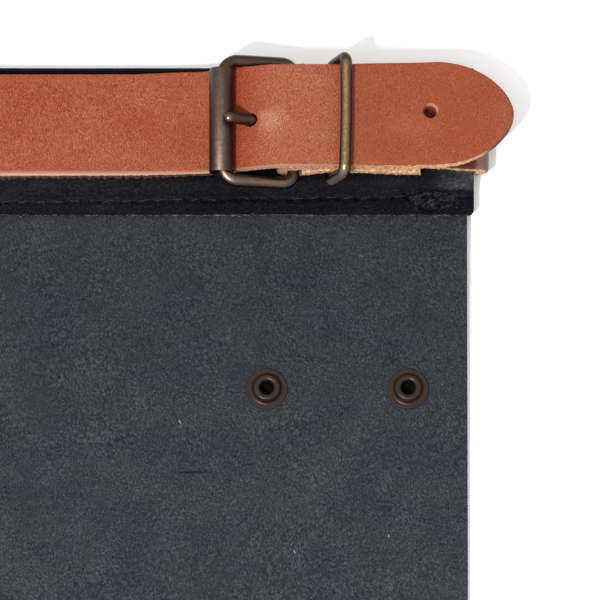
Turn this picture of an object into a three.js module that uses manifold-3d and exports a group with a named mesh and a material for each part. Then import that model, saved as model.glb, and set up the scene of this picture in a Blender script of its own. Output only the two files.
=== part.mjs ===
// A leather waist apron lying flat, outer side up: a suede panel, a waistband folded over its top
// edge, and a belt that runs through the waistband and is buckled on top of it.
// Millimetres, +Z up, +Y towards the waistband. X = 0 is the middle of the panel and Y = 0 is the
// middle of the belt until the whole apron is set down over the origin at the end.

import * as THREE from "three";
import { mergeVertices } from "three/addons/utils/BufferGeometryUtils.js";
import manifoldModule from "manifold-3d";

const wasm = await manifoldModule();
wasm.setup();

// Sizes that drive the apron.
const gap = 0.3; // left between pieces that lie on each other
const apron = { width: 500, length: 450 };
const panel = { thickness: 1.6, topEdge: -17, cornerRadius: 12, liftRun: 180 };
const band = { thickness: 1.4, top: 18.1, bottom: -26.3, overhang: 2, cornerRadius: 1.5 };
const belt = { width: 30, freeWidth: 30.8, turnWidth: 28, thickness: 2.8, returnLength: 37 };
const tip = { reach: 13.6, length: 22.5, taper: 1.18, steps: 12 };
const holes = { radius: 1.6, fromTip: 24.1, pitch: 24.8, count: 3, aside: 0.7 };
const buckle = { wireRadius: 1.85, halfWidth: 18.05, depth: 20.65, heelInset: 50.65, aside: -0.75 };
const buckleCorner = { front: 3.2, heel: 3.4 };
const roller = { radius: 3.55, length: 31.2, clearance: 1.3, ahead: 0.45, aside: -0.3 };
const prong = { radius: 1.6, eyeThickness: 2, eyeWidth: 3.2, slotPlay: 0.45, passagePlay: 0.35 };
const prongAside = { eye: -0.5, tip: -1.3 }; // sideways from the belt's middle
const prongRestsOut = 2.3; // from the roller's axis to where the prong's tip rests on it
const keeper = { wireRadius: 1.7, halfWidth: 17.25, inset: 35.3, lean: 4.5, aside: 0.05 };
const keeperCorner = { top: 2.3, foot: 2.7 };
const stud = { flangeRadius: 6, barrelRadius: 2.4, holeRadius: 2.1, down: 78.2, insets: [58.5, 17.3] };

// Where the suede rises off the ground in soft swells: the middle of each, its reach and its rise.
const swells = [
  { x: -250, y: -432, reachX: 150, reachY: 130, rise: 5 },
  { x: 250, y: -432, reachX: 110, reachY: 150, rise: 4 },
  { x: 60, y: -432, reachX: 90, reachY: 110, rise: 2.5 },
  { x: -250, y: -190, reachX: 80, reachY: 95, rise: 3 },
];

// How far the belt's middle strays towards the waistband's top on each stretch.
const drift = {
  returned: 0,
  heel: -0.3,
  strap: 0.4,
  overEnd: 1.2,
  turn: 0.4,
  tunnel: 0.3,
  front: 0,
  rise: -0.1,
  keeper: 0.05,
  tip: 1.4,
};

// Heights of the layers, from the ground up.
const tunnelRun = band.thickness + gap + belt.thickness / 2;
const bandTop = 2 * (band.thickness + gap) + belt.thickness;
const frontRun = bandTop + gap + belt.thickness / 2;
const layer = belt.thickness + gap;
const panelInBand = band.thickness + gap;
const stitchedLeaf = panelInBand + panel.thickness + gap + band.thickness / 2;

// Places along the waist, from the panel's right edge.
const rightEdge = apron.width / 2;
const bandEnd = rightEdge + band.overhang;
const turnX = bandEnd + 0.5;
const tipX = rightEdge + tip.reach;
const heelX = rightEdge - buckle.heelInset;
const frontX = heelX - buckle.depth;
const rollerX = frontX - roller.ahead;
const returnEndX = heelX + belt.returnLength;
const keeperTopX = rightEdge - keeper.inset;
const keeperFootX = keeperTopX - keeper.lean;

// Heights of the belt's middle where the layers pile up.
const wrapRadius = buckle.wireRadius + gap + belt.thickness / 2;
const returnAtHeel = frontRun + 0.5;
const heelBarZ = returnAtHeel + wrapRadius;
const keeperFootZ = bandTop + gap + keeper.wireRadius;
const returnAtKeeper = keeperFootZ + keeper.wireRadius + gap + belt.thickness / 2;
const returnAtEnd = frontRun + 0.7;
const strapAtKeeper = returnAtKeeper + layer + 0.15;
const freeAtHeel = heelBarZ + wrapRadius + layer + 0.15;
const freeAtKeeper = strapAtKeeper + layer + 0.2;
const freeAtTip = 15;
const keeperTopZ = freeAtKeeper + belt.thickness / 2 + gap + keeper.wireRadius;

const vec = (x, y, z) => new THREE.Vector3(x, y, z);
const smooth = (t) => t * t * (3 - 2 * t);

// A skin over rings of points. Each ring is counter-clockwise seen from the ring after it; an open
// skin is closed at both ends by joining the first half of the end ring to its second half.
function loft(rings, closed = false) {
  const size = rings[0].length;
  const index = [];
  const quad = (a, b, c, d) => index.push(a, b, c, a, c, d);
  const joins = closed ? rings.length : rings.length - 1;
  for (let i = 0; i < joins; i += 1) {
    const here = i * size;
    const next = ((i + 1) % rings.length) * size;
    for (let k = 0; k < size; k += 1) {
      const after = (k + 1) % size;
      quad(here + k, here + after, next + after, next + k);
    }
  }
  if (!closed) {
    const last = (rings.length - 1) * size;
    for (let k = 0; k < size / 2 - 1; k += 1) {
      quad(last + k, last + k + 1, last + size - 2 - k, last + size - 1 - k);
      quad(k, size - 1 - k, size - 2 - k, k + 1);
    }
  }
  const geometry = new THREE.BufferGeometry();
  const positions = rings.flat().flatMap((p) => p.toArray());
  geometry.setAttribute("position", new THREE.Float32BufferAttribute(positions, 3));
  geometry.setIndex(index);
  return geometry;
}

// The direction of travel at one point of a path, from its neighbours.
function tangentAt(path, i, closed = false) {
  const count = path.length;
  const before = closed ? path[(i + count - 1) % count] : path[Math.max(i - 1, 0)];
  const after = closed ? path[(i + 1) % count] : path[Math.min(i + 1, count - 1)];
  return after.clone().sub(before).normalize();
}

// A flat strip along a path: `sideways` is its width direction and halfWidths has one value a point.
function strip(path, sideways, halfWidths, thickness) {
  const rings = path.map((point, i) => {
    const travel = tangentAt(path, i);
    const through = travel.cross(sideways).setLength(thickness / 2);
    const across = sideways.clone().multiplyScalar(halfWidths[i]);
    return [
      point.clone().sub(across).sub(through),
      point.clone().add(across).sub(through),
      point.clone().add(across).add(through),
      point.clone().sub(across).add(through),
    ];
  });
  return loft(rings);
}

// Round wire along a path that lies in the plane across `normal`, with one radius for each point.
function wire(path, normal, radii, sides, closed = false) {
  const rings = path.map((point, i) => {
    const travel = tangentAt(path, i, closed);
    const inPlane = normal.clone().cross(travel).normalize();
    return Array.from({ length: sides }, (_, k) => {
      const angle = (2 * Math.PI * k) / sides;
      return point
        .clone()
        .addScaledVector(inPlane, radii[i] * Math.cos(angle))
        .addScaledVector(normal, radii[i] * Math.sin(angle));
    });
  });
  return loft(rings, closed);
}

// A rounded rectangle of points about a middle: `u` and `v` are the half-sides as vectors, and the
// corners have one radius at the end that `u` points to and another at the end behind.
function roundedLoop(middle, u, v, radiusAhead, radiusBehind, steps) {
  const uStep = u.clone().normalize();
  const vStep = v.clone().normalize();
  const corners = [
    { u: 1, v: 1, start: 0, radius: radiusAhead },
    { u: -1, v: 1, start: 90, radius: radiusBehind },
    { u: -1, v: -1, start: 180, radius: radiusBehind },
    { u: 1, v: -1, start: 270, radius: radiusAhead },
  ];
  return corners.flatMap((corner) =>
    Array.from({ length: steps + 1 }, (_, k) => {
      const angle = THREE.MathUtils.degToRad(corner.start + (90 * k) / steps);
      const uIn = u.length() - corner.radius;
      const vIn = v.length() - corner.radius;
      return middle
        .clone()
        .addScaledVector(uStep, corner.u * uIn + corner.radius * Math.cos(angle))
        .addScaledVector(vStep, corner.v * vIn + corner.radius * Math.sin(angle));
    }),
  );
}

function solidOf(geometry) {
  const plain = geometry.clone();
  plain.deleteAttribute("normal");
  plain.deleteAttribute("uv");
  const welded = mergeVertices(plain, 1e-4);
  const vertProperties = new Float32Array(welded.attributes.position.array);
  const triVerts = new Uint32Array(welded.index.array);
  return new wasm.Manifold(new wasm.Mesh({ numProp: 3, vertProperties, triVerts }));
}

function geometryOf(solid) {
  const mesh = solid.getMesh();
  const geometry = new THREE.BufferGeometry();
  geometry.setAttribute("position", new THREE.Float32BufferAttribute(mesh.vertProperties, 3));
  geometry.setIndex(Array.from(mesh.triVerts));
  return geometry;
}

const cut = (geometry, cutters) =>
  geometryOf(cutters.reduce((left, cutter) => left.subtract(solidOf(cutter)), solidOf(geometry)));

// A round bar for cutting or joining, `axis` "y" or "z".
function roundBar(radius, length, middle, axis, sides = 32) {
  const geometry = new THREE.CylinderGeometry(radius, radius, length, sides);
  if (axis === "z") geometry.rotateX(Math.PI / 2);
  return geometry.translate(middle.x, middle.y, middle.z);
}

// A piece turned about the vertical through `foot`, from a profile that runs from axis to axis.
function turned(profile, foot, segments) {
  const geometry = new THREE.LatheGeometry(profile.map((p) => new THREE.Vector2(p.r, p.z)), segments);
  return geometry.rotateX(Math.PI / 2).translate(foot.x, foot.y, foot.z);
}

// The suede panel: a sheet that leaves the waistband above the ground and settles on it.
function panelLift(x, y) {
  const below = THREE.MathUtils.clamp((band.bottom - y) / panel.liftRun, 0, 1);
  let lift = panelInBand * (1 - below) ** 2;
  for (const swell of swells) {
    const away = ((x - swell.x) / swell.reachX) ** 2 + ((y - swell.y) / swell.reachY) ** 2;
    if (away < 1) lift += swell.rise * (1 - away) ** 2;
  }
  return lift;
}

function panelGeometry() {
  const hem = band.top - apron.length;
  const spread = (from, to, count) =>
    Array.from({ length: count }, (_, k) => from + ((to - from) * k) / count);
  const cornerRows = Array.from({ length: 7 }, (_, k) => {
    const angle = (Math.PI / 2) * (k / 6);
    return hem + panel.cornerRadius * (1 - Math.sin(angle));
  });
  const rows = [
    ...spread(panel.topEdge, band.bottom, 1),
    ...spread(band.bottom, -206, 12),
    ...spread(-206, hem + panel.cornerRadius, 14),
    ...cornerRows,
  ];
  const columns = 30;
  const rings = rows.map((y) => {
    const intoCorner = Math.max(0, hem + panel.cornerRadius - y);
    const inset = panel.cornerRadius - Math.sqrt(panel.cornerRadius ** 2 - intoCorner ** 2);
    const half = rightEdge - inset;
    const under = Array.from({ length: columns + 1 }, (_, k) => {
      const x = half * ((2 * k) / columns - 1);
      return vec(x, y, panelLift(x, y));
    });
    const over = under.map((p) => p.clone().setZ(p.z + panel.thickness)).reverse();
    return [...under, ...over];
  });
  const cutters = stud.insets.map((inset) =>
    roundBar(stud.barrelRadius + gap, 12, vec(rightEdge - inset, -stud.down, 0), "z"),
  );
  return cut(loft(rings), cutters);
}

// The waistband: back leaf, fold at the top, front leaf down over the belt to the stitched edge.
function waistbandGeometry() {
  const foldRadius = bandTop / 2 - band.thickness / 2;
  const foldY = band.top - bandTop / 2;
  const path = [vec(0, band.bottom, band.thickness / 2)];
  const halfWidths = [bandEnd];
  const add = (y, z, halfWidth = bandEnd) => {
    path.push(vec(0, y, z));
    halfWidths.push(halfWidth);
  };
  const foldSteps = 12;
  for (let k = 0; k <= foldSteps; k += 1) {
    const angle = Math.PI * (k / foldSteps - 0.5);
    add(foldY + foldRadius * Math.cos(angle), bandTop / 2 + foldRadius * Math.sin(angle));
  }
  const dropFrom = -belt.width / 2 - 0.4;
  const dropTo = dropFrom - 5;
  const dropSteps = 6;
  for (let k = 0; k <= dropSteps; k += 1) {
    const t = k / dropSteps;
    const z = THREE.MathUtils.lerp(bandTop - band.thickness / 2, stitchedLeaf, smooth(t));
    add(THREE.MathUtils.lerp(dropFrom, dropTo, t), z);
  }
  for (let k = 0; k <= 3; k += 1) {
    const angle = (Math.PI / 2) * (k / 3);
    const y = band.bottom + band.cornerRadius * (1 - Math.sin(angle));
    add(y, stitchedLeaf, bandEnd - band.cornerRadius * (1 - Math.cos(angle)));
  }
  return strip(path, vec(1, 0, 0), halfWidths, band.thickness);
}

// The belt's route, from the end of its return under the strap to the tip of the free end, with the
// belt's half-width at each point. The free end has been pulled through the buckle and is wider,
// and the tight turn at the right draws the belt in.
function beltRoute() {
  const route = [];
  const halfWidths = [];
  const half = belt.width / 2;
  const freeHalf = belt.freeWidth / 2;
  const turnHalf = belt.turnWidth / 2;
  const run = (from, to, steps, halfFrom = half, halfTo = halfFrom) => {
    for (let k = 0; k < steps; k += 1) {
      const t = k / steps;
      const x = THREE.MathUtils.lerp(from.x, to.x, t);
      const y = THREE.MathUtils.lerp(from.y, to.y, t);
      route.push(vec(x, y, THREE.MathUtils.lerp(from.z, to.z, smooth(t))));
      halfWidths.push(THREE.MathUtils.lerp(halfFrom, halfTo, t));
    }
  };
  const turn = (middle, yTo, radius, startAngle, steps, halfWidth = half) => {
    for (let k = 0; k < steps; k += 1) {
      const angle = startAngle - (Math.PI * k) / steps;
      const y = THREE.MathUtils.lerp(middle.y, yTo, k / steps);
      route.push(vec(middle.x + radius * Math.cos(angle), y, middle.z + radius * Math.sin(angle)));
      halfWidths.push(halfWidth);
    }
  };
  const turnZ = (frontRun + tunnelRun) / 2;
  const turnRadius = (frontRun - tunnelRun) / 2;
  const stop = {
    returnEnd: vec(returnEndX, drift.returned, returnAtEnd),
    returnKeeper: vec(keeperFootX, drift.returned, returnAtKeeper),
    returnHeel: vec(heelX, drift.heel, returnAtHeel),
    strapHeel: vec(heelX, drift.heel, heelBarZ + wrapRadius),
    strapKeeper: vec(keeperFootX + 2, drift.strap, strapAtKeeper),
    strapOverEnd: vec(returnEndX + 1, drift.overEnd, returnAtEnd + layer + 0.2),
    strapTurn: vec(turnX, drift.turn, frontRun),
    tunnelRight: vec(turnX, drift.tunnel, tunnelRun),
    tunnelLeft: vec(-turnX, drift.front, tunnelRun),
    frontLeft: vec(-turnX, drift.front, frontRun),
    frontRise: vec(frontX - 10, drift.front, frontRun),
    freeHeel: vec(heelX - 2, drift.rise, freeAtHeel),
    freeKeeper: vec(keeperTopX, drift.keeper, freeAtKeeper),
    freeTipStart: vec(tipX - tip.length, drift.tip, freeAtTip + 0.5),
  };
  run(stop.returnEnd, stop.returnKeeper, 6);
  run(stop.returnKeeper, stop.returnHeel, 6);
  turn(vec(heelX, drift.heel, heelBarZ), drift.heel, wrapRadius, -Math.PI / 2, 12);
  run(stop.strapHeel, stop.strapKeeper, 6);
  run(stop.strapKeeper, stop.strapOverEnd, 6);
  run(stop.strapOverEnd, stop.strapTurn, 8, half, turnHalf);
  turn(vec(turnX, drift.turn, turnZ), drift.tunnel, turnRadius, Math.PI / 2, 10, turnHalf);
  run(stop.tunnelRight, stop.tunnelLeft, 4, turnHalf, half);
  turn(vec(-turnX, drift.front, turnZ), drift.front, turnRadius, -Math.PI / 2, 10);
  run(stop.frontLeft, stop.frontRise, 3);
  run(stop.frontRise, stop.freeHeel, 16, half, freeHalf);
  run(stop.freeHeel, stop.freeKeeper, 6, freeHalf);
  run(stop.freeKeeper, stop.freeTipStart, 6, freeHalf);
  const tipStart = stop.freeTipStart;
  for (let k = 0; k <= tip.steps; k += 1) {
    const angle = (Math.PI / 2) * (k / tip.steps) * 0.96;
    const out = Math.sin(angle);
    route.push(vec(tipStart.x + tip.length * out, drift.tip, tipStart.z - 0.5 * out));
    halfWidths.push(freeHalf * Math.cos(angle) ** tip.taper);
  }
  return { route, halfWidths };
}

// The roller's axis is as low as the belt rising under it allows.
const rollerAway = roller.radius + gap + belt.thickness / 2;
const rollerZ = Math.max(
  ...beltRoute()
    .route.slice(-60)
    .filter((point) => Math.abs(point.x - rollerX) < rollerAway)
    .map((point) => point.z + Math.sqrt(rollerAway ** 2 - (point.x - rollerX) ** 2)),
);

// The prong: an eye round the heel bar, and a shank up through the belt to the roller.
function prongPath() {
  const tipAway = roller.radius + prong.radius + gap;
  const restX = rollerX + prongRestsOut;
  const stop = (x, z) => {
    const along = (heelX - x) / (heelX - restX);
    return vec(x, THREE.MathUtils.lerp(prongAside.eye, prongAside.tip, along), z);
  };
  const stops = [
    stop(heelX - 1.2, heelBarZ + 3),
    stop(heelX - 5, heelBarZ + 3.2),
    stop(heelX - 9, heelBarZ + 3.6),
    stop(heelX - 13, heelBarZ + 5.2),
    stop(restX, rollerZ + Math.sqrt(tipAway ** 2 - prongRestsOut ** 2)),
  ];
  return new THREE.CatmullRomCurve3(stops).getSpacedPoints(16);
}

function shankGeometry(extraRadius) {
  const path = prongPath();
  const radii = path.map(() => prong.radius + extraRadius);
  const end = path[path.length - 1];
  const travel = tangentAt(path, path.length - 1);
  for (const angle of [35, 62, 84].map(THREE.MathUtils.degToRad)) {
    path.push(end.clone().addScaledVector(travel, (prong.radius + extraRadius) * Math.sin(angle)));
    radii.push((prong.radius + extraRadius) * Math.cos(angle));
  }
  return wire(path, vec(0, 1, 0), radii, 14);
}

function prongGeometry() {
  const bore = buckle.wireRadius + gap;
  const middle = vec(heelX, prongAside.eye, heelBarZ);
  const eye = solidOf(roundBar(bore + prong.eyeThickness, prong.eyeWidth, middle, "y"));
  const bar = solidOf(roundBar(bore, prong.eyeWidth + 4, middle, "y"));
  return geometryOf(eye.add(solidOf(shankGeometry(0))).subtract(bar));
}

function beltGeometry() {
  const { route, halfWidths } = beltRoute();
  const blank = strip(route, vec(0, 1, 0), halfWidths, belt.thickness);
  const slotRadius = wrapRadius + belt.thickness / 2 + 0.15;
  const slotWidth = prong.eyeWidth + 2 * prong.slotPlay;
  const cutters = [
    roundBar(slotRadius, slotWidth, vec(heelX, prongAside.eye, heelBarZ), "y"),
    shankGeometry(prong.passagePlay),
  ];
  for (let k = 0; k < holes.count - 1; k += 1) {
    const x = tipX - holes.fromTip - k * holes.pitch;
    const on = route.slice(-30).reduce((a, b) => (Math.abs(b.x - x) < Math.abs(a.x - x) ? b : a));
    const middle = vec(x, on.y + holes.aside, on.z);
    cutters.push(roundBar(holes.radius, belt.thickness + 0.35, middle, "z", 20));
  }
  return cut(blank, cutters);
}

// The buckle's wire frame slopes up from the heel bar to the front bar inside the roller.
const frameSlope = vec(frontX - heelX, 0, rollerZ - heelBarZ).multiplyScalar(0.5);
const frameMiddle = vec((frontX + heelX) / 2, buckle.aside, (rollerZ + heelBarZ) / 2);
function frameGeometry() {
  const u = frameSlope;
  const v = vec(0, -buckle.halfWidth, 0);
  const path = roundedLoop(frameMiddle, u, v, buckleCorner.front, buckleCorner.heel, 8);
  const normal = u.clone().cross(v).normalize();
  return wire(path, normal, path.map(() => buckle.wireRadius), 16, true);
}

function rollerGeometry() {
  const middle = vec(rollerX, buckle.aside + roller.aside, rollerZ);
  const outer = roundBar(roller.radius, roller.length, middle, "y", 40);
  const bore = roundBar(buckle.wireRadius + roller.clearance, roller.length + 4, middle, "y", 24);
  return cut(outer, [bore]);
}

// The keeper: a wire ring that leans, its foot under the strap and its top over the free end.
function keeperGeometry() {
  const middle = vec((keeperTopX + keeperFootX) / 2, keeper.aside, (keeperTopZ + keeperFootZ) / 2);
  const u = vec(keeper.lean / 2, 0, (keeperTopZ - keeperFootZ) / 2);
  const v = vec(0, keeper.halfWidth, 0);
  const path = roundedLoop(middle, u, v, keeperCorner.top, keeperCorner.foot, 8);
  const normal = u.clone().cross(v).normalize();
  return wire(path, normal, path.map(() => keeper.wireRadius), 14, true);
}

// A snap stud: hidden back flange, barrel through the suede, domed flange and a hollow nub.
function studGeometry(inset) {
  const x = rightEdge - inset;
  const foot = vec(x, -stud.down, panelLift(x, -stud.down));
  const seat = panel.thickness + 0.12;
  const profile = [
    { r: 0, z: -0.72 },
    { r: 4.8, z: -0.72 },
    { r: 5, z: -0.5 },
    { r: 5, z: -0.12 },
    { r: stud.barrelRadius, z: -0.12 },
    { r: stud.barrelRadius, z: seat },
    { r: stud.flangeRadius - 0.1, z: seat },
    { r: stud.flangeRadius, z: seat + 0.3 },
    { r: 5.6, z: seat + 0.75 },
    { r: 4.9, z: seat + 0.95 },
    { r: 4.1, z: seat + 0.8 },
    { r: 3.7, z: seat + 1.1 },
    { r: 3.9, z: seat + 1.9 },
    { r: 3.7, z: seat + 2.5 },
    { r: 3.3, z: seat + 2.8 },
    { r: 2.6, z: seat + 2.8 },
    { r: stud.holeRadius, z: seat + 2.4 },
    { r: stud.holeRadius, z: 0.4 },
    { r: 0, z: 0.4 },
  ];
  return turned(profile, foot, 28);
}

const suede = { color: 0x3b4046, roughness: 0.95, metalness: 0 };
const blackLeather = { color: 0x1d1d21, roughness: 0.6, metalness: 0 };
const tanLeather = { color: 0xae5f43, roughness: 0.65, metalness: 0 };
const darkMetal = { color: 0x5d4b42, roughness: 0.45, metalness: 1 };
const brassWire = { color: 0x8a7350, roughness: 0.4, metalness: 1 };
const copperBrown = { color: 0x4e3a30, roughness: 0.45, metalness: 1 };

const pieces = [
  { name: "suede_panel", geometry: panelGeometry(), finish: suede },
  { name: "waistband", geometry: waistbandGeometry(), finish: blackLeather },
  { name: "belt", geometry: beltGeometry(), finish: tanLeather },
  { name: "buckle_frame", geometry: frameGeometry(), finish: darkMetal },
  { name: "roller", geometry: rollerGeometry(), finish: darkMetal },
  { name: "prong", geometry: prongGeometry(), finish: darkMetal },
  { name: "keeper_loop", geometry: keeperGeometry(), finish: brassWire },
  { name: "snap_stud_inner", geometry: studGeometry(stud.insets[0]), finish: copperBrown },
  { name: "snap_stud_outer", geometry: studGeometry(stud.insets[1]), finish: copperBrown },
];

const apronGroup = new THREE.Group();
apronGroup.name = "leather_waist_apron";
for (const piece of pieces) {
  const material = new THREE.MeshStandardMaterial({ ...piece.finish, flatShading: true });
  const mesh = new THREE.Mesh(piece.geometry, material);
  mesh.name = piece.name;
  apronGroup.add(mesh);
}

// Set down with the middle of its box over the origin and its lowest point on the ground.
const box = new THREE.Box3().setFromObject(apronGroup);
const middle = box.getCenter(new THREE.Vector3());
apronGroup.position.set(-middle.x, -middle.y, -box.min.z);

export default apronGroup;
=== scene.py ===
# %% [markdown]
# # A leather waist apron, dressed piece by piece
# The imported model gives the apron's true places and sizes. Each piece is built again here with a
# finer skin, rounded edges, grain, stitches and loose fibres, and then stands for its plain solid.
# Lengths are in millimetres until they go into a mesh, because leather is cut in millimetres.

# %% Load the frame
import math

import bpy
import numpy as np
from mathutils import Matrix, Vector, noise


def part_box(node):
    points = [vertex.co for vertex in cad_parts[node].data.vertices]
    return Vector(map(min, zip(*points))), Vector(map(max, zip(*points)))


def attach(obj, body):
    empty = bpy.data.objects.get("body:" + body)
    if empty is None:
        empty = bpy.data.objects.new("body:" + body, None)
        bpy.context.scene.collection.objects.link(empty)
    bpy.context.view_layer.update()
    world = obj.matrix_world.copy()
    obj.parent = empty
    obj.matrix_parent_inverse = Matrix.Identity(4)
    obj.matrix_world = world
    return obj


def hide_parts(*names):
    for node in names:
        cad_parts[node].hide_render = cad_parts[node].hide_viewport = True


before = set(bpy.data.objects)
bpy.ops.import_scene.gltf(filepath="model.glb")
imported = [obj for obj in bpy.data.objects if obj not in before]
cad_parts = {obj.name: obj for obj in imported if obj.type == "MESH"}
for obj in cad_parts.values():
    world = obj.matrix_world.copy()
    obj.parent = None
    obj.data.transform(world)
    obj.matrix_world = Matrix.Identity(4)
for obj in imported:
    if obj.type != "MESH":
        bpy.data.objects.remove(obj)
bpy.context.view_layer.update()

# %% [markdown]
# ## Landmarks
# Everything near the buckle is measured from two lines that are easy to see on the apron: the
# panel's right edge and the middle of the belt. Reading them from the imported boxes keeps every
# piece in register with the solids.

# %% Landmarks
MM = 0.001
BAND_TOP = 18.1  # the waistband's top edge, above the belt's middle line
edge_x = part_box("suede_panel")[1].x / MM
belt_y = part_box("waistband")[1].y / MM - BAND_TOP


def to_row(points):
    """Millimetres from the landmarks to metres in the row frame."""
    return (np.asarray(points, float) + (edge_x, belt_y, 0.0)) * MM


print(f"panel's right edge at x = {edge_x:.2f} mm, belt's middle at y = {belt_y:.2f} mm")

# %% [markdown]
# ## Camera
# The photo looks down on the apron from a little below the belt, so the lower cut edges show. A
# long lens far away keeps the panel's side edge upright, as it is in the photo.

# %% Camera
PIXEL = 0.292  # millimetres of apron in one pixel of the photo
PHOTO_PIXELS = 600
PHOTO_MIDDLE = (-48.8, -50.75, 0)
TILT = math.radians(14)
CAMERA_AWAY, FAR_CLIP = 5000, 100
SENSOR = 36
aim = Vector(to_row(PHOTO_MIDDLE))


def aim_at_photo(thing, offset):
    """Put a camera or a light at an offset from the photo's middle, looking back at it."""
    bpy.context.collection.objects.link(thing)
    thing.location = aim + offset
    thing.rotation_mode = "QUATERNION"
    thing.rotation_quaternion = (-offset).to_track_quat("-Z", "Y")


camera = bpy.data.objects.new("camera", bpy.data.cameras.new("camera"))
back = Vector((0, -math.sin(TILT), math.cos(TILT)))
aim_at_photo(camera, back * CAMERA_AWAY * MM)
camera.data.sensor_width = SENSOR
camera.data.lens = SENSOR * CAMERA_AWAY / (PHOTO_PIXELS * PIXEL)
camera.data.clip_end = FAR_CLIP
bpy.context.scene.camera = camera
print(f"lens {camera.data.lens:.0f} mm from {CAMERA_AWAY * MM} m")

# %% [markdown]
# ## Light
# The lower left of each wire and the far wall of the tip's hole are bright, so the main light is a
# soft box at the lower left. It is small for its distance, so that the prong and the buckle throw a
# shadow with a shape. An even surround, brightest overhead, fills the shadows. There is enough
# light to wash the pale floor out to white, as in a catalogue photo.

# %% Light
KEY_AWAY, KEY_SIZE, KEY_WATTS = 1.6, 0.22, 36.5
KEY_DIRECTION = Vector((-0.36, -0.52, 1.0)).normalized()
key = bpy.data.objects.new("soft_box", bpy.data.lights.new("soft_box", "AREA"))
key.data.shape = "DISK"
key.data.size = KEY_SIZE
key.data.energy = KEY_WATTS
key.visible_camera = False
aim_at_photo(key, KEY_DIRECTION * KEY_AWAY)

SKY_STRENGTH = 1.35
SKY_STOPS = ((0.05, (0.5, 0.5, 0.51, 1)), (1.0, (1.0, 1.0, 1.0, 1)))  # height, colour
world = bpy.data.worlds.new("studio")
bpy.context.scene.world = world
world.use_nodes = True
sky = world.node_tree
direction = sky.nodes.new("ShaderNodeTexCoord")
height = sky.nodes.new("ShaderNodeSeparateXYZ")
fade = sky.nodes.new("ShaderNodeValToRGB")
for element, (position, colour) in zip(fade.color_ramp.elements, SKY_STOPS):
    element.position = position
    element.color = colour
sky.links.new(direction.outputs["Generated"], height.inputs[0])
sky.links.new(height.outputs["Z"], fade.inputs["Fac"])
sky.links.new(fade.outputs["Color"], sky.nodes["Background"].inputs["Color"])
sky.nodes["Background"].inputs["Strength"].default_value = SKY_STRENGTH
bpy.context.scene.view_settings.view_transform = "Standard"
LEVEL_LIGHT = 2.35  # how much brighter than white a white level face would be
SIDE_LIGHT = 1.7  # the same for an upright face that is turned to the camera
print(f"soft box {KEY_WATTS} W from the lower left")

# %% [markdown]
# ## Mesh helpers
# Straps, wires, turned caps and folded strips are all skins over rings of points, so one helper
# makes them. A ring is a closed outline; the skin joins each ring to the next and caps both ends.


# %% Skins over rings
def skin(rings, closed=False):
    """Points and faces of a skin over rings, an array of shape (rings, points in a ring, 3)."""
    rings = np.asarray(rings, float)
    count, size = rings.shape[:2]
    here = np.arange(count if closed else count - 1)[:, None] * size
    nxt = (here + size) % (count * size)
    k = np.arange(size)[None, :]
    after = (k + 1) % size
    quads = np.stack([here + k, here + after, nxt + after, nxt + k], axis=-1).reshape(-1, 4)
    faces = quads.tolist()
    if not closed:
        last = (count - 1) * size
        faces.append(list(range(size - 1, -1, -1)))
        faces.append(list(range(last, last + size)))
    return rings.reshape(-1, 3), faces


def circle(sides):
    """Angles of the points on a ring."""
    return np.linspace(0, 2 * math.pi, sides, endpoint=False)


def unit(vectors):
    """The rows of an array, each made 1 long."""
    return vectors / np.linalg.norm(vectors, axis=1)[:, None]


def length_of(line):
    """Length of a line of points."""
    return float(np.linalg.norm(np.diff(line, axis=0), axis=1).sum())


def turned(outline, middle, axis, sides=48, closed=False):
    """A skin turned about axis 1 (y) or 2 (z), from an outline of (radius, height) points."""
    turn = circle(sides)
    others = (2, 0) if axis == 1 else (0, 1)
    outline = np.asarray(outline, float)
    rings = np.zeros((len(outline), sides, 3))
    rings[:, :, others[0]] = outline[:, :1] * np.cos(turn)
    rings[:, :, others[1]] = outline[:, :1] * np.sin(turn)
    rings[:, :, axis] = outline[:, 1:]
    return skin(rings + np.asarray(middle, float), closed)


def wire(path, radii, side, lift, sides, closed=False):
    """A skin of round wire; each ring lies in the plane of its side and lift vectors."""
    turn = circle(sides)[None, :, None]
    ring = np.cos(turn) * side[:, None] + np.sin(turn) * lift[:, None]
    return skin(path[:, None] + radii[:, None, None] * ring, closed)


def tube(path, radii, sides, normal):
    """Round wire along a path whose bends lie across `normal`."""
    ahead = unit(np.gradient(path, axis=0))
    side = unit(np.cross(np.asarray(normal, float), ahead))
    return wire(path, radii, side, np.cross(ahead, side), sides)


def gather(skins):
    """Many skins as one."""
    points, faces, start = [], [], 0
    for some_points, some_faces in skins:
        points.append(some_points)
        faces += [[start + v for v in face] for face in some_faces]
        start += len(some_points)
    return np.concatenate(points), faces


# %% Pieces
def make_piece(name, points, faces, finishes, slots=None, sharp=40):
    """A smooth-shaded mesh object; `slots` gives each face the number of its finish."""
    mesh = bpy.data.meshes.new(name)
    mesh.from_pydata(to_row(points).tolist(), [], faces)
    for finish in finishes:
        mesh.materials.append(finish.material)
    if slots is not None:
        mesh.polygons.foreach_set("material_index", np.asarray(slots, np.int32))
    mesh.shade_smooth()
    mesh.set_sharp_from_angle(angle=math.radians(sharp))
    mesh.update()
    piece = bpy.data.objects.new(name, mesh)
    bpy.context.collection.objects.link(piece)
    return piece


def settle(piece, slot, *nodes):
    """Let a piece ride on the apron and stand for its solids; `slot` is not used."""
    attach(piece, "root")
    if nodes:
        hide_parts(*nodes)
    print(piece.name, len(piece.data.polygons), "faces")


def ripple(x, y, size, seed):
    """Smooth noise from -1 to 1 over arrays of places."""
    x, y = np.broadcast_arrays(x, y)
    flat = [noise.noise((a / size, b / size, seed)) for a, b in zip(x.ravel(), y.ravel())]
    return np.reshape(flat, x.shape)


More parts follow.
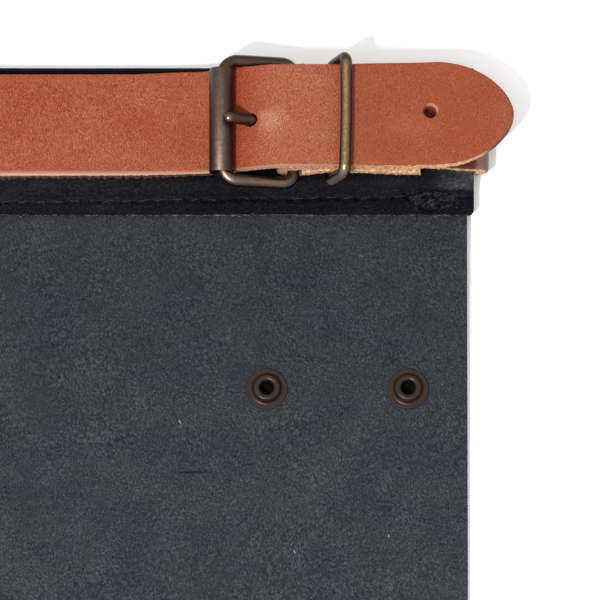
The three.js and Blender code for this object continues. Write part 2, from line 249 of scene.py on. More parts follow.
# %% [markdown]
# ## Finishes
# Leather is never one flat colour, so each finish mixes noise at two or three scales: a fine one
# for grain or nap, a broad one for mottling. The same fine noise also drives the bump, so that
# what looks raised is also lit as raised. Textures read millimetres from the landmarks.


# %% Node helpers
def linear(red, green, blue):
    """A display colour, 0 to 255, as the linear colour that a shader takes."""

    def one(value):
        value /= 255
        return value / 12.92 if value <= 0.04045 else ((value + 0.055) / 1.055) ** 2.4

    return (one(red), one(green), one(blue), 1.0)


def dye(red, green, blue, light=LEVEL_LIGHT):
    """The linear colour that a matt face needs to be seen as this display colour."""
    return tuple(v / light for v in linear(red, green, blue)[:3]) + (1.0,)


class Finish:
    """A material with its shader, short ways to add nodes, and `paint`, its colour so far."""

    def __init__(self, name, light=LEVEL_LIGHT, specular=0.5, **values):
        self.light = light
        self.paint = None
        self.material = bpy.data.materials.new(name)
        self.material.use_nodes = True
        self.tree = self.material.node_tree
        self.shader = self.tree.nodes["Principled BSDF"]
        self.shader.inputs["Specular IOR Level"].default_value = specular
        for socket, value in values.items():
            self.shader.inputs[socket.replace("_", " ")].default_value = value
        coordinates = self.add("ShaderNodeTexCoord").outputs
        self.normal = coordinates["Normal"]
        from_marks = {"Scale": (1 / MM,) * 3, "Location": (-edge_x, -belt_y, 0)}
        from_marks["Vector"] = coordinates["Object"]
        self.place = self.add("ShaderNodeMapping", from_marks).outputs[0]
        split = self.add("ShaderNodeSeparateXYZ", {0: self.place})
        self.x, self.y, self.z = (split.outputs[axis] for axis in "XYZ")

    def add(self, kind, inputs=None, **settings):
        node = self.tree.nodes.new(kind)
        for setting, value in settings.items():
            setattr(node, setting, value)
        for socket, value in (inputs or {}).items():
            if isinstance(value, bpy.types.NodeSocket):
                self.tree.links.new(value, node.inputs[socket])
            else:
                node.inputs[socket].default_value = value
        return node

    def spread(self, scale, turn, middle=(0, 0)):
        """Places in units of `scale` mm from `middle`, on axes turned by `turn` degrees."""
        inputs = {"Vector": self.place, "Location": (*middle, 0), "Scale": scale}
        inputs["Rotation"] = (0, 0, math.radians(turn))
        return self.add("ShaderNodeMapping", inputs, vector_type="TEXTURE").outputs[0]

    def noise(self, size, stretch=(1, 1, 1), turn=0, detail=3, roughness=0.55, distortion=0):
        """Noise with features about `size` mm across, drawn out by `stretch`."""
        places = self.spread([size * s for s in stretch], turn)
        inputs = {"Vector": places, "Scale": 1, "Detail": detail}
        inputs |= {"Roughness": roughness, "Distortion": distortion}
        return self.add("ShaderNodeTexNoise", inputs).outputs["Fac"]

    def ramp(self, factor, *stops):
        """A colour ramp; each stop is (position, colour)."""
        node = self.add("ShaderNodeValToRGB", {"Fac": factor})
        while len(node.color_ramp.elements) < len(stops):
            node.color_ramp.elements.new(0.5)
        for element, (position, colour) in zip(node.color_ramp.elements, stops):
            element.position = position
            element.color = colour
        return node.outputs["Color"]

    def band(self, factor, low, high):
        """0 at low, 1 at high, smooth between; low may be the larger."""
        inputs = {"Value": factor, "From Min": low, "From Max": high}
        node = self.add("ShaderNodeMapRange", inputs, interpolation_type="SMOOTHSTEP")
        return node.outputs["Result"]

    def mark(self, middle, half_long, half_wide, turn):
        """1 in a small soft oval on a level face, 0 outside it."""
        any_height = 1000
        oval = self.spread((half_long, half_wide, any_height), turn, middle)
        out = self.add("ShaderNodeVectorMath", {0: oval}, operation="LENGTH").outputs["Value"]
        return self.band(out, 1, 0.3)

    def facing(self, towards):
        """1 where the surface looks in the direction `towards`, 0 where it is turned sideways."""
        inputs = {0: self.normal, 1: Vector(towards).normalized()}
        return self.add("ShaderNodeVectorMath", inputs, operation="DOT_PRODUCT").outputs["Value"]

    def math(self, operation, first, second):
        return self.add("ShaderNodeMath", {0: first, 1: second}, operation=operation).outputs[0]

    def times(self, first, *others):
        for other in others:
            first = self.math("MULTIPLY", first, other)
        return first

    def mix(self, factor, first, second, blend="MIX"):
        inputs = {0: factor, 6: first, 7: second}
        node = self.add("ShaderNodeMix", inputs, data_type="RGBA", blend_type=blend)
        return node.outputs[2]

    def tones(self, factor, *stops):
        """A ramp of dyes under the finish's own light; a stop is (position, red, green, blue)."""
        return self.ramp(factor, *[(at, dye(*colour, self.light)) for at, *colour in stops])

    def zone(self, strength, **axes):
        """`strength` in a soft zone; an axis gives where it starts, is full, is still full, ends."""
        for axis, bounds in axes.items():
            place = getattr(self, axis)
            strength = self.times(self.band(place, *bounds[:2]), strength)
            if len(bounds) == 4:
                strength = self.times(self.band(place, bounds[3], bounds[2]), strength)
        return strength

    def tint(self, mask, *colour):
        """Lay a dye over the paint where the mask is 1."""
        self.paint = self.mix(mask, self.paint, dye(*colour, self.light))

    def shade(self, factor, *stops, strength=1.0):
        """Multiply the paint by a ramp of tones; a stop is (position, red, green, blue)."""
        tone = self.ramp(factor, *[(at, (*parts, 1)) for at, *parts in stops])
        self.paint = self.mix(strength, self.paint, tone, "MULTIPLY")

    def bump(self, height_socket, depth, strength=1.0):
        """A normal for relief of `depth` mm."""
        inputs = {"Height": height_socket, "Distance": depth * MM, "Strength": strength}
        return self.add("ShaderNodeBump", inputs).outputs["Normal"]

    def feed(self, **sockets):
        for name, value in sockets.items():
            self.tree.links.new(value, self.shader.inputs[name.replace("_", " ")])


# %% [markdown]
# ## Suede, black leather and tan leather
# Suede is the split side of the hide with its fibres raised: matt, bluish charcoal, broken up by short
# nap strokes, with a few bits of lint and two faint creases painted as dark lines of shade. The
# waistband is hide dyed black and pressed smooth, with a scuffed patch at its end; the top of its fold
# is painted darker as shade, and its puckers carry painted grey highlights. The belt is strap leather
# whose fine grain, with painted glints, is drawn out across it. It is painted paler as a sheen beside
# the prong and darker as shade by the roller; its lower edges are pale, worn and painted as a highlight.

# %% Charcoal suede
suede = Finish("charcoal suede", specular=0.05, Roughness=0.95, Sheen_Weight=0.06, Sheen_Roughness=0.5)
stroke_one = suede.noise(0.4, stretch=(1, 2.2, 1), turn=38, detail=2, roughness=0.6)
stroke_two = suede.noise(0.42, stretch=(1, 1.7, 1), turn=-12, detail=2, roughness=0.6)
brushed_way = suede.band(suede.noise(16, detail=2), 0.4, 0.6)
nap = suede.mix(brushed_way, stroke_one, stroke_two)
nap_colour = suede.tones(nap, (0.3, 25, 29, 34), (0.5, 57, 63, 70), (0.7, 104, 110, 118))
tuft = suede.noise(1.6, stretch=(1, 1.4, 1), turn=30, roughness=0.6)
tuft_colour = suede.tones(tuft, (0.3, 44, 49, 55), (0.7, 72, 77, 84))
suede.paint = suede.mix(0.35, nap_colour, tuft_colour)
cloud = suede.noise(13, roughness=0.6)
suede.shade(cloud, (0.3, 0.78, 0.82, 0.86), (0.7, 1.18, 1.14, 1.12))
brown_patch = suede.times(suede.band(suede.noise(24), 0.5, 0.7), 0.2)
suede.tint(brown_patch, 66, 64, 66)
towards_band = suede.band(suede.y, -125, -35)
suede.shade(towards_band, (0, 0.96, 0.96, 0.96), (1, 0.82, 0.83, 0.83))
print(suede.material.name)

# %% Marks on the suede
LINT_APART, LINT_SIZE = 5, 0.03
lint = suede.add("ShaderNodeTexVoronoi", {"Vector": suede.place, "Scale": 1 / LINT_APART, "Randomness": 1})
speck = suede.math("LESS_THAN", lint.outputs["Distance"], LINT_SIZE)
suede.tint(suede.times(speck, 0.6), 160, 165, 172)
# The creases are painted shade: dark lines on the suede, with no dent under them.
CREASE_SHADE_PAINT, PALE_LINT, RUST_FLECK = (22, 25, 30), (176, 180, 186), (132, 84, 66)
MARKS = (  # middle, half length, half width, turn, colour, strength
    ((-80.2, -103.0), 8.0, 0.55, 0, CREASE_SHADE_PAINT, 0.75),
    ((-63.5, -100.6), 2.8, 0.5, 8, CREASE_SHADE_PAINT, 0.6),
    ((-83.8, -87.9), 0.85, 0.24, -55, PALE_LINT, 0.9),
    ((-50.4, -126.7), 0.8, 0.24, -70, PALE_LINT, 0.8),
    ((-23.0, -122.0), 0.6, 0.24, 80, PALE_LINT, 0.8),
    ((-84.9, -77.8), 0.6, 0.35, 20, RUST_FLECK, 0.8),
)
for *oval, colour, strength in MARKS:
    suede.tint(suede.times(suede.mark(*oval), strength), *colour)
suede.feed(Base_Color=suede.paint, Normal=suede.bump(nap, 0.3, 0.7))
print(len(MARKS), "marks on the suede")

# %% Black waistband leather and its cut edge
black = Finish("black waistband leather", specular=0.03, Roughness=0.6)
pressed = black.noise(0.55, stretch=(1.5, 1, 1), turn=10, roughness=0.65)
scuff = black.noise(4, stretch=(2, 1, 1), turn=8, detail=4, roughness=0.7)
black.paint = black.tones(pressed, (0.3, 8, 8, 11), (0.52, 18, 18, 23), (0.72, 42, 43, 51))
black.tint(black.times(black.band(scuff, 0.5, 0.75), 0.4), 40, 42, 51)
broad = black.noise(17, stretch=(1.6, 1, 1))
black.shade(broad, (0.35, 0.75, 0.75, 0.75), (0.65, 1.35, 1.36, 1.4))
strokes = black.noise(0.45, stretch=(3, 1, 1), turn=24, roughness=0.6, distortion=0.6)
wisps = black.times(black.band(strokes, 0.36, 0.76), black.band(scuff, 0.3, 0.7), 0.9)
black.tint(black.zone(black.math("ADD", wisps, 0.16), x=(-14, 1), y=(-19.6, -17.8)), 116, 116, 121)
# Painted shade: the top of the fold is painted darker.
fold_painted_shade = black.zone(0.75, y=(13, 16))
black.tint(fold_painted_shade, 5, 4, 5)
in_lens = black.zone(0.45, x=(-19, -15, -5, -1), y=(-25.2, -23.6, -20.2, -18.6))
# Painted highlights: grey specks on the raised puckers of the lens.
pucker_painted_highlight = black.times(black.band(black.noise(0.8), 0.48, 0.66), in_lens)
black.tint(pucker_painted_highlight, 84, 88, 104)
black.feed(Base_Color=black.paint, Normal=black.bump(pressed, 0.12, 0.7))

grey_edge = Finish("grey cut edge", SIDE_LIGHT, specular=0.05, Roughness=0.95)
edge_fibre = grey_edge.noise(1.0, stretch=(2.2, 1, 0.6), detail=4, roughness=0.7)
edge_colour = grey_edge.tones(edge_fibre, (0.44, 14, 15, 18), (0.53, 74, 77, 83), (0.68, 146, 152, 160))
grey_edge.feed(Base_Color=edge_colour, Normal=grey_edge.bump(edge_fibre, 0.2))
print(black.material.name, "and", grey_edge.material.name)

# %% Tan belt leather
tan = Finish("tan belt leather", specular=0.1)
grain_one = tan.noise(0.175, stretch=(1, 3.5, 1), turn=-6, detail=0)
grain_two = tan.noise(0.19, stretch=(1, 3, 1), turn=10, detail=0)
grain = tan.mix(tan.band(tan.noise(9, detail=2), 0.42, 0.58), grain_one, grain_two)
stain = tan.noise(12, stretch=(1.7, 1, 1), detail=4, roughness=0.6)
tan.paint = tan.tones(stain, (0.3, 168, 80, 49), (0.5, 172, 88, 59), (0.7, 178, 95, 68))
print(tan.material.name)

# %% Wear and painted light of the belt
# Painted sheen: a pale zone between the prong and the keeper, paler still beside the prong's hole.
painted_sheen_zone = tan.zone(0.24, x=(-68, -54, -44, -34))
tan.tint(painted_sheen_zone, 206, 134, 106)
painted_sheen_by_hole = tan.zone(0.42, x=(-61.6, -60, -58, -50), y=(-8, -2, 0, 2.8))
tan.tint(painted_sheen_by_hole, 224, 158, 130)
# Painted shade: a deeper, darker orange beside the roller.
painted_shade_by_roller = tan.zone(0.5, x=(-73, -70, -66, -56))
tan.tint(painted_shade_by_roller, 172, 74, 41)
# Tones of the grain; its light dashes are also painted glints.
GRAIN_AND_GLINT_TONES = (0.22, 0.56, 0.46, 0.38), (0.5, 1.0, 0.98, 0.95), (0.78, 1.54, 1.78, 2.04)
calmer_end = tan.math("SUBTRACT", 1, tan.zone(0.3, x=(-42, -30)))
tan.shade(grain, *GRAIN_AND_GLINT_TONES, strength=calmer_end)
# The lower edges are painted pale: worn edges, with a painted highlight.
front_edge_wear_and_highlight = tan.zone(0.75, x=(-66, -74), y=(-13.9, -15.6))
free_edge_wear_and_highlight = tan.zone(0.4, x=(-74, -66), y=(-14.6, -15.5))
tan.tint(tan.math("ADD", front_edge_wear_and_highlight, free_edge_wear_and_highlight), 240, 198, 168)
UNDER_TIP = (13.9, 13.3)  # heights of the layer below the tip
# Painted shadow of the tip, with the creased grain of the bend: the layer below the tip is painted dark.
tan.tint(tan.zone(0.85, x=(-15, -9), z=UNDER_TIP), 80, 40, 36)
# Painted reflection: the bend under the tip is painted a pale pinkish grey.
tan.tint(tan.zone(0.7, x=(1.6, 4.0), z=UNDER_TIP), 172, 132, 126)
gloss = tan.math("ADD", tan.times(grain, 0.3), 0.36)
tan.feed(Base_Color=tan.paint, Roughness=gloss, Normal=tan.bump(grain, 0.12, 0.7))
# Of these only the edges are partly worn; at the prong, the roller and under the tip the belt carries
# painted sheen, shade, shadow and reflection.
print("belt worn at the prong, the roller, the edges and under the tip")

# %% Raw edge of the belt
LEFT_OF_ROLLER = (-68, -76)
raw = Finish("raw tan edge", SIDE_LIGHT, specular=0.05, Roughness=0.95)
fibre = raw.noise(0.5, stretch=(1.8, 1.8, 0.8), detail=4, roughness=0.7)
raw.paint = raw.tones(fibre, (0.3, 150, 92, 56), (0.5, 224, 170, 128), (0.7, 250, 216, 180))
patchy = raw.noise(3.2, stretch=(1.6, 1, 1))
raw.tint(raw.times(raw.band(patchy, 0.5, 0.75), 0.45), 190, 120, 82)
round_tip = raw.zone(0.9, x=(3, 8), y=(-13, -11))
raw.tint(round_tip, 84, 46, 36)
# Left of the roller the raw edge is darker.
darker_raw_colour = raw.tones(fibre, (0.4, 46, 30, 25), (0.7, 120, 86, 72))
raw.paint = raw.mix(raw.zone(0.95, x=LEFT_OF_ROLLER), raw.paint, darker_raw_colour)
raw.feed(Base_Color=raw.paint, Normal=raw.bump(fibre, 0.35, 0.8))

brown_fibre = Finish("brown fibre", specular=0.05, Roughness=0.95)
bundle = brown_fibre.noise(1.5, detail=2)
brown_fibre.paint = brown_fibre.tones(bundle, (0.42, 70, 42, 32), (0.58, 206, 148, 108))
brown_fibre.tint(brown_fibre.zone(0.9, x=LEFT_OF_ROLLER), 92, 62, 52)
brown_fibre.feed(Base_Color=brown_fibre.paint)

# Painted highlight: the pale finish on the side of each hole's rim that faces the light.
painted_highlight_rim = Finish("painted highlight rim", specular=0.1, Roughness=0.6)
rim_grain = painted_highlight_rim.noise(0.3)
painted_highlight_rim.feed(Base_Color=painted_highlight_rim.tones(rim_grain, (0.35, 190, 112, 84), (0.65, 226, 164, 134)))
print(raw.material.name, brown_fibre.material.name, painted_highlight_rim.material.name)

# %% [markdown]
# ## Metals and thread
# The buckle is brass under a dark brown antique plating, mottled lighter in places. Each metal is
# also painted lighter where its surface faces a chosen way, a painted highlight; the buckle's far limb
# and the keeper's far arch are painted darker, as shade. The keeper shows more yellow, and the front of
# its foot is painted lighter and less metallic, a painted reflection. The studs are a dark copper brown
# with a near black hollow.


# %% Plated metals
def plated(name, tones, rough, painted_light_from, painted_light_stops=(0.4, 0.64, 0.8), far_painted_shade=None, painted_foot_light=None, metal=1.0):
    """Antiqued plating, painted lighter towards `painted_light_from`; painted shade or a painted
    reflection between two y.
    """
    finish = Finish(name, SIDE_LIGHT, specular=0.5 * metal, Metallic=metal)
    clouds = finish.noise(0.8, detail=4, roughness=0.7)
    scratch = finish.noise(0.3, stretch=(1, 6, 1))
    uneven_rub = finish.math("ADD", finish.times(clouds, 0.5), 0.15)
    # Painted highlight: lighter where the surface faces `painted_light_from`, over the plating's mottling.
    painted_light_and_wear = finish.math("ADD", finish.facing(painted_light_from), uneven_rub)
    stops = [(at, linear(*tone)) for at, tone in zip(painted_light_stops, tones)]
    finish.paint = finish.ramp(finish.times(painted_light_and_wear, 0.5), *stops)
    # Painted shade: the far limb or arch takes the darkest tone.
    if far_painted_shade:
        finish.paint = finish.mix(finish.zone(0.65, y=far_painted_shade), finish.paint, linear(*tones[0]))
    if painted_foot_light:
        # Painted reflection: the front of the keeper's foot is painted lighter and made less metallic.
        forward = finish.band(finish.facing(FROM_FRONT), 0.45, 0.95)
        painted_foot_mask = finish.zone(forward, y=painted_foot_light)
        finish.tint(painted_foot_mask, 108, 94, 80)
        finish.feed(Metallic=finish.math("SUBTRACT", 1, finish.times(painted_foot_mask, 0.85)))
    gloss = finish.math("ADD", finish.times(clouds, 0.25), rough)
    finish.feed(Base_Color=finish.paint, Roughness=gloss, Normal=finish.bump(scratch, 0.02, 0.5))
    return finish


# Directions that each metal's painted highlight comes from; FROM_FRONT places the keeper foot's painted
# reflection.
FROM_ABOVE, FROM_LEFT, FROM_FRONT = (-0.1, -0.25, 1), (-0.12, 0, 1), (-0.4, -1, 0.3)
# y spans of the painted shade on the far limb and arch, and of the painted reflection on the keeper's
# foot.
FAR_LIMB, FAR_ARCH, NEAR_FOOT = (8, 16), (14.5, 17.5), (-15, -16.2)
NARROW = (0.48, 0.64, 0.76)
BUCKLE_TONES = (54, 43, 38), (92, 75, 65), (130, 110, 95)
PRONG_TONES = (56, 43, 38), (94, 76, 67), (140, 118, 102)
ROLLER_TONES = (60, 43, 42), (80, 64, 59), (110, 92, 85)
KEEPER_TONES = (60, 44, 35), (110, 90, 65), (160, 136, 101)
STUD_TONES = (36, 26, 22), (40, 30, 25), (46, 35, 29)
buckle_metal = plated("buckle plating", BUCKLE_TONES, 0.22, FROM_ABOVE, far_painted_shade=FAR_LIMB)
prong_metal = plated("prong plating", PRONG_TONES, 0.2, FROM_ABOVE)
roller_metal = plated("roller plating", ROLLER_TONES, 0.34, FROM_LEFT, NARROW)
keeper_metal = plated("keeper brass", KEEPER_TONES, 0.27, FROM_ABOVE, NARROW, FAR_ARCH, NEAR_FOOT)
stud_metal = plated("stud plating", STUD_TONES, 0.22, FROM_ABOVE, metal=0.3)
hollow = Finish("near black hollow", specular=0.05, Roughness=0.9, Base_Color=dye(16, 14, 13))

thread = Finish("black thread", specular=0.12, Roughness=0.6)
twist = thread.noise(0.5, stretch=(0.6, 1, 1), detail=2)
twist_colour = thread.tones(twist, (0.4, 10, 10, 13), (0.72, 66, 70, 78))
thread.feed(Base_Color=twist_colour, Normal=thread.bump(twist, 0.08))
print("metals and thread")

# %% [markdown]
# ## Layers of the waist
# The belt runs inside the folded band, turns at both ends and comes back over the front, so the
# heights are stacked from the ground up with a hair of air between neighbours, as in the solids.

# %% Heights and places
GAP = 0.3
APRON_WIDTH = 500
PANEL_THICK, BAND_THICK, BELT_THICK = 1.6, 1.4, 2.8
BAND_BOTTOM = -26.3
BAND_OVER = 2.0  # the band's end past the panel's edge
tunnel_run = BAND_THICK + GAP + BELT_THICK / 2
band_height = 2 * (BAND_THICK + GAP) + BELT_THICK
front_run = band_height + GAP + BELT_THICK / 2
layer = BELT_THICK + GAP
panel_in_band = BAND_THICK + GAP
stitched_leaf = panel_in_band + PANEL_THICK + GAP + BAND_THICK / 2


def ease(t):
    return t * t * (3 - 2 * t)


print(f"front of the band at {band_height:.1f} mm, belt's front run at {front_run:.1f} mm")

# %% [markdown]
# ## The suede panel
# A single sheet of suede hangs from the band; here it lies on the ground and rises softly at the
# corners, because cut hide never lies quite flat. A fine grid with a wall all round is enough: the
# hide is stiff, so the swells come from a few smooth bumps and a little noise.

# %% Panel surface
PANEL_TOP = -17.0
PANEL_HEM = BAND_TOP - 450
PANEL_CORNER = 12.0
LIFT_RUN = 180.0
STUD_DOWN = -78.2
STUD_IN = (-58.5, -17.3)
SWELLS = [  # middle x and y, reach x and y, rise
    (-500, -432, 150, 130, 5.0),
    (0, -432, 110, 150, 4.0),
    (-190, -432, 90, 110, 2.5),
    (-500, -190, 80, 95, 3.0),
]


def panel_lift(x, y):
    """Height of the panel's underside."""
    below = np.clip((BAND_BOTTOM - y) / LIFT_RUN, 0, 1)
    lift = panel_in_band * (1 - below) ** 2
    for mid_x, mid_y, reach_x, reach_y, rise in SWELLS:
        away = ((x - mid_x) / reach_x) ** 2 + ((y - mid_y) / reach_y) ** 2
        lift = lift + rise * np.clip(1 - away, 0, None) ** 2
    return lift


PANEL_ROWS, CORNER_ROWS, PANEL_COLUMNS = 161, 10, 201
CLEAR_RUN = 8  # below the band's edge the unevenness comes in over this length
corner_turn = np.linspace(0, math.pi / 2, CORNER_ROWS)
side_rows = np.linspace(PANEL_TOP, PANEL_HEM + PANEL_CORNER, PANEL_ROWS)[:-1]
rows = np.concatenate([side_rows, PANEL_HEM + PANEL_CORNER * (1 - np.sin(corner_turn))])
into_corner = np.clip(PANEL_HEM + PANEL_CORNER - rows, 0, None)
half_row = APRON_WIDTH / 2 - PANEL_CORNER + np.sqrt(PANEL_CORNER**2 - into_corner**2)
columns = np.linspace(-1, 1, PANEL_COLUMNS)
grid_x = half_row[:, None] * columns - APRON_WIDTH / 2
grid_y = np.repeat(rows[:, None], PANEL_COLUMNS, axis=1)
under = panel_lift(grid_x, grid_y)
clear_of_band = np.clip((BAND_BOTTOM - grid_y) / CLEAR_RUN, 0, 1)
uneven = 0.07 * ripple(grid_x, grid_y, 14, 3.0) + 0.12 * ripple(grid_x, grid_y, 38, 8.0)
over = under + PANEL_THICK + uneven * clear_of_band
lower = np.stack([grid_x, grid_y, under], axis=-1)
upper = np.stack([grid_x, grid_y, over], axis=-1)[:, ::-1]
panel = make_piece("suede_panel_skin", *skin(np.concatenate([lower, upper], axis=1)), [suede])
settle(panel, "charcoal_suede", "suede_panel")

# %% [markdown]
# ## The waistband
# One strip of black leather is folded over the panel's top edge. Seen from the end it is a flat
# loop: back leaf, fold, front leaf, then a step down to the stitched edge. Each stitch pulls a
# dimple into the leather. At the right end the machine sewed to and fro, so the leather is drawn up
# there into a lens of puckers between two creases.

# %% The band's outline
FOLD_PUFF = 0.25  # the fold springs open a little
DROP_FROM, DROP_TO = -15.4, -20.4
FIRST_FRONT = 16  # the outline's point halfway round the fold, where the front starts
INNER_STEP = 3  # the hidden inner side needs only every third point
fold_radius = band_height / 2 - BAND_THICK / 2
fold_y = BAND_TOP - band_height / 2
fold = np.linspace(-math.pi / 2, math.pi / 2, 17)
fold_out = fold_y + (fold_radius + FOLD_PUFF) * np.cos(fold)
front_z = band_height - BAND_THICK / 2
drop = np.linspace(0, 1, 19)
drop_y = DROP_FROM + (DROP_TO - DROP_FROM) * drop


def leaf(y_from, y_to, count, z):
    return np.column_stack([np.linspace(y_from, y_to, count), np.full(count, z)])


profile = np.concatenate(
    [
        leaf(BAND_BOTTOM, fold_y, 8, BAND_THICK / 2)[:-1],
        np.column_stack([fold_out, band_height / 2 + fold_radius * np.sin(fold)]),
        leaf(fold_y, DROP_FROM, 22, front_z)[1:-1],
        np.column_stack([drop_y, front_z + (stitched_leaf - front_z) * ease(drop)]),
        leaf(DROP_TO, BAND_BOTTOM, 23, stitched_leaf)[1:],
    ]
)
travel = unit(np.gradient(profile, axis=0))
outward = np.column_stack([-travel[:, 1], travel[:, 0]])
outer = profile - outward * BAND_THICK / 2
inner = (profile + outward * BAND_THICK / 2)[::-1]
inner = np.concatenate([inner[:1], inner[1:-1:INNER_STEP], inner[-1:]])
band_outline = np.concatenate([outer, inner])
on_front = np.arange(len(band_outline)) >= FIRST_FRONT
on_front[len(outer) :] = False

# %% Relief of the band's front
PITCH, FIRST_STITCH = 5.0, -2.0
SEAM_FROM, SEAM_CLIMB, SEAM_BOUNDS = (-114.5, -22.36), 0.0144, (-22.6, -20.9)
LOWER_CREASE = [(-18.2, -20.4), (-15.2, -23.1), (-12.8, -24.5), (-10.8, -25.0), (-8.8, -24.2)]
LOWER_CREASE += [(-7.4, -22.6)]
UPPER_CREASE = [(-16.5, -20.2), (-13.5, -19.1), (-9.9, -18.6), (-5.5, -19.0), (-1.0, -18.5)]
END_CREASE = [(-7.4, -22.6), (-4.5, -21.9), (-1.5, -22.4)]
CREASES = ((LOWER_CREASE, 0.95, 0.48), (UPPER_CREASE, 0.7, 0.42), (END_CREASE, 0.35, 0.4))  # depth, width


def seam_y(x):
    """The stitched line climbs a little towards the right, and wavers."""
    climb = SEAM_FROM[1] + SEAM_CLIMB * (x - SEAM_FROM[0])
    return np.clip(climb, *SEAM_BOUNDS) + 0.15 * np.sin(x / 3.7)


def near_line(x, y, line, width):
    """1 on a line drawn through points, falling to 0 about `width` mm away from it."""
    nearest = np.full(np.shape(x), np.inf)
    for (ax, ay), (bx, by) in zip(line, line[1:]):
        long = (bx - ax) ** 2 + (by - ay) ** 2
        t = np.clip(((x - ax) * (bx - ax) + (y - ay) * (by - ay)) / long, 0, 1)
        nearest = np.minimum(nearest, np.hypot(x - ax - t * (bx - ax), y - ay - t * (by - ay)))
    return np.exp(-((nearest / width) ** 2))


def band_relief(x, y):
    """Height of the band's front over its plain sweep."""
    relief = 0.1 * ripple(x, y, 9, 1.7) + 0.14 * ripple(x, y, 26, 4.1)
    groove = np.exp(-(((y - seam_y(x)) / 0.75) ** 2))
    pulled = 0.5 + 0.5 * np.cos(2 * math.pi * (x - FIRST_STITCH) / PITCH)
    relief -= groove * (0.16 + 0.4 * pulled**3)
    lens = np.exp(-(((x + 11.5) / 5) ** 2) - ((y + 21.9) / 2.4) ** 2)
    tail = np.exp(-(((x + 4) / 5) ** 2) - ((y + 21) / 2.2) ** 2)
    relief += lens * (0.4 + 0.75 * ripple(x + y / 2, y, 1.9, 7.3)) + 0.35 * tail * ripple(x, y, 1.6, 2.2)
    for line, depth, width in CREASES:
        relief -= depth * near_line(x, y, line, width)
    return relief


FINE_FROM, PUCKERS_FROM = -140, -22  # sections are closer in the photo, and closest at the puckers
far_x = np.linspace(-APRON_WIDTH - BAND_OVER, FINE_FROM, 146)[:-1]
photo_x = np.linspace(FINE_FROM, PUCKERS_FROM, 237)[:-1]
band_x = np.concatenate([far_x, photo_x, np.linspace(PUCKERS_FROM, BAND_OVER, 97)])
print(f"{len(band_x)} sections of {len(band_outline)} points")

# %% Sweep the band
CORNER, BACK_CORNER = 1.5, 6.0
END_SOFT, END_DROP = 0.5, 0.35  # the cut ends are rounded over
LOW_ROUGH = 0.12  # roughness of the lower cut edge
grid_x = np.repeat(band_x[:, None], len(band_outline), axis=1)
grid_y = np.repeat(band_outline[None, :, 0], len(band_x), axis=0)
grid_z = np.repeat(band_outline[None, :, 1], len(band_x), axis=0)
relief = np.zeros_like(grid_x)
relief[:, on_front] = band_relief(grid_x[:, on_front], grid_y[:, on_front])
from_end = np.minimum(grid_x - band_x[0], band_x[-1] - grid_x)
relief[:, on_front] -= END_DROP * np.clip(1 - from_end[:, on_front] / END_SOFT, 0, 1) ** 2
corner = np.where(grid_z < BAND_THICK + 0.2, BACK_CORNER, CORNER)
into_corner = np.clip(BAND_BOTTOM + corner - grid_y, 0, corner)
corner_in = corner - np.sqrt(corner**2 - into_corner**2)
towards_middle = -np.sign(grid_x + APRON_WIDTH / 2)
grid_x = grid_x + towards_middle * corner_in * np.clip(1 - from_end / corner, 0, 1)
rough = LOW_ROUGH * ripple(grid_x, grid_z, 0.8, 5.5)
low_rough = np.where(grid_y < BAND_BOTTOM + 0.05, rough, 0)
band_rings = np.stack([grid_x, grid_y + low_rough, grid_z + relief], axis=-1)[:, ::-1]
band_points, band_faces = skin(band_rings)
outline_size = len(band_outline)
outline_spot = outline_size - 2 - np.arange(len(band_faces)) % outline_size
band_slots = np.isin(outline_spot, (len(outer) - 1, -1)).astype(int)
band_slots[-2:] = 1
waistband = make_piece("waistband_fold", band_points, band_faces, [black, grey_edge], band_slots)
settle(waistband, "black_leather", "waistband")

# %% [markdown]
# ## Stitches
# A machine stitch is a short length of thread that dives into the leather at both ends, so each
# one is a small arched tube, a little askew. The run goes along the band's lower edge, and a few
# are sewn over each other at the right end, where the machine reversed.

# %% Stitches
draw = np.random.default_rng(11)
STITCH_TOP = stitched_leaf + BAND_THICK / 2
RUN_COUNT, BACK_COUNT = 99, 6
# Each stitch has the x of its middle, a step aside, a rise and half its length.
stitches = [(FIRST_STITCH - PITCH * (k + 0.5), 0.15, 0.0, 1.9) for k in range(RUN_COUNT)]
stitches += [(-3.4 - 2.3 * k, 0.7 * (-1) ** k, 0.15, 1.4) for k in range(BACK_COUNT)]
t = np.linspace(-1, 1, 9)
stitch_skins = []
for x, step_aside, raised, half_long in stitches:
    askew = draw.normal(0.2, 0.25)
    sag = STITCH_TOP - 0.16 + raised - 0.5 * np.abs(t) ** 3 + draw.normal(0, 0.09)
    path = np.column_stack([x + t * half_long, seam_y(x) + step_aside + askew * t, sag])
    stitch_skins.append(tube(path, 0.22 - 0.06 * np.abs(t) ** 3, 8, (0, 1, 0)))
stitching = make_piece("waistband_stitches", *gather(stitch_skins), [thread])
settle(stitching, "black_leather")

# %% [markdown]
# ## The belt
# The belt is one strap. Its route is drawn as runs that ease from one height to the next and half
# turns round the heel bar and the band's ends. The outline of the strap is then swept along the
# route: a grain side with softened edges, raw cut sides and a plain flesh side.

